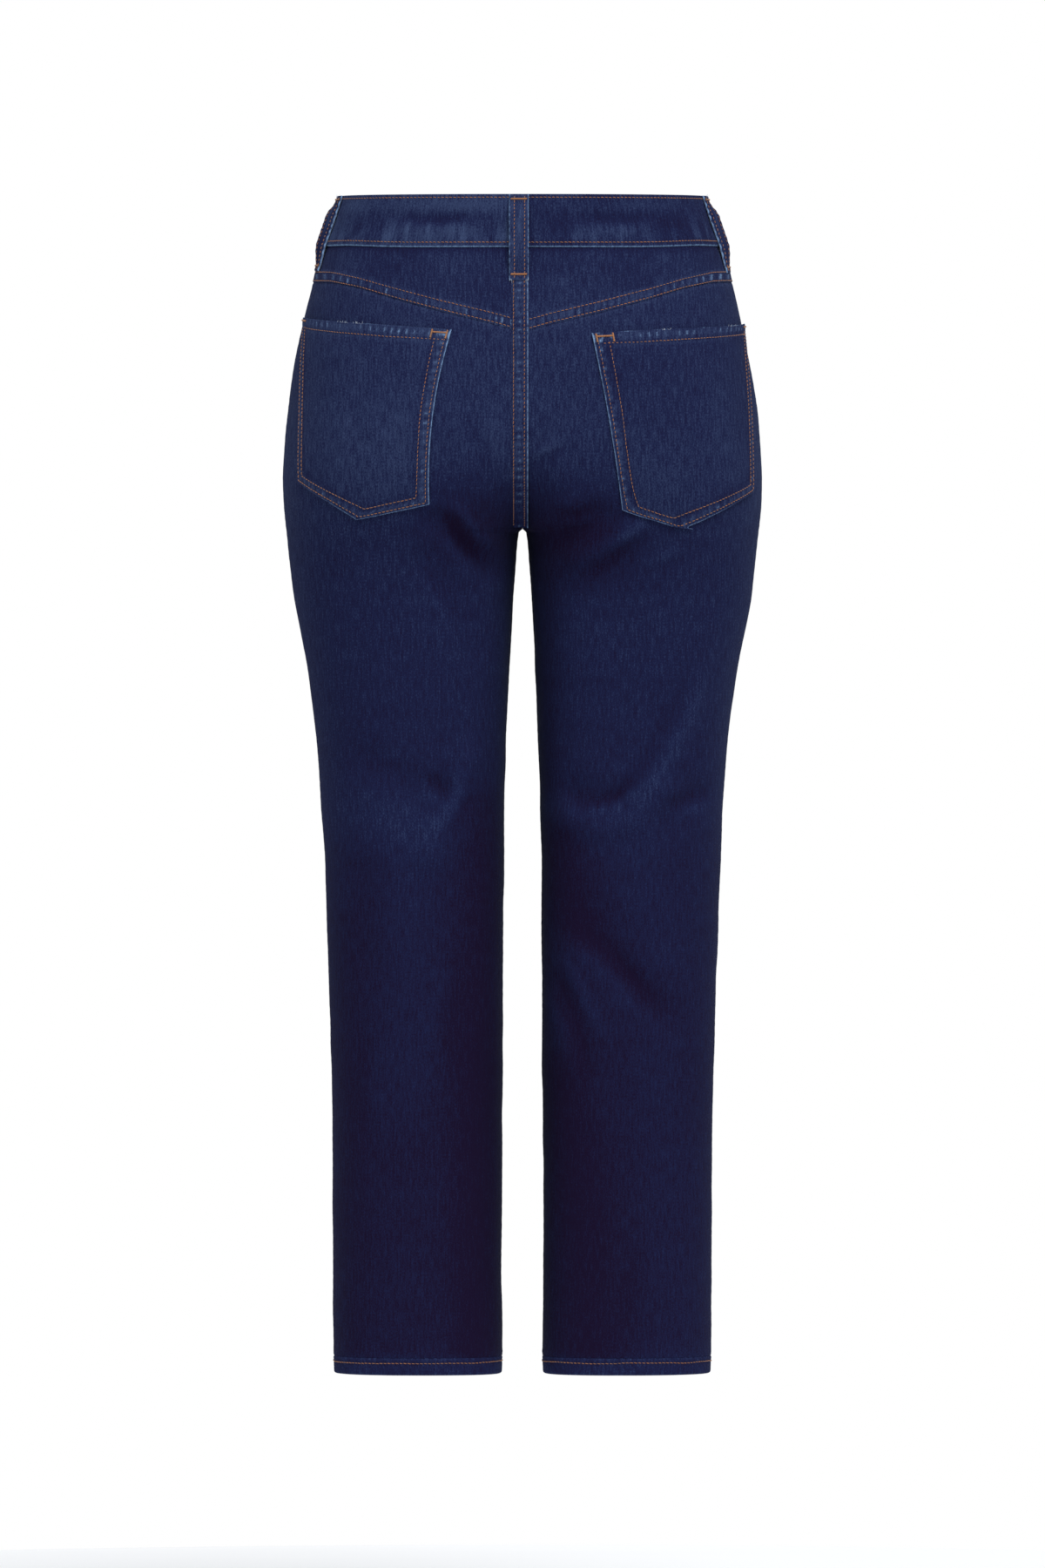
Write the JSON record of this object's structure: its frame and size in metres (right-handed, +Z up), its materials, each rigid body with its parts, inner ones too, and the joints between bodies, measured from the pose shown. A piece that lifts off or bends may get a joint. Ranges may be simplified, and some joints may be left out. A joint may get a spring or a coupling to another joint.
{
  "type": "boyfriend jeans",
  "caption": "Dark indigo boyfriend jeans, filled out as worn and hollow, with straight ankle-length legs, patch back pockets, yokes, belt loops and a buttoned fly.",
  "frame": {"origin": "middle of the waist, half way down the waistband at the sides", "axes": "+Z up towards the waist's opening, the front faces -Y, the wearer's left is +X"},
  "size_m": [0.3846, 0.2612, 0.9486],
  "materials": {
    "denim": "matte",
    "zip_tape": "matte",
    "button_metal": "brushed"
  },
  "bodies": {
    "root": {"back_left": "denim", "back_right": "denim", "yoke_left": "denim", "yoke_right": "denim", "front_left": "denim", "front_right": "denim", "pocket_front_left": "denim", "pocket_front_right": "denim", "hem_left": "denim", "hem_right": "denim", "pocket_back_left": "denim", "pocket_back_right": "denim", "waistband": "denim", "belt_loop_back": "denim", "belt_loop_side_left": "denim", "belt_loop_side_right": "denim", "belt_loop_front_left": "denim", "belt_loop_front_right": "denim", "fly": "denim", "zip": "zip_tape", "button": "button_metal"}
  },
  "joints": []
}
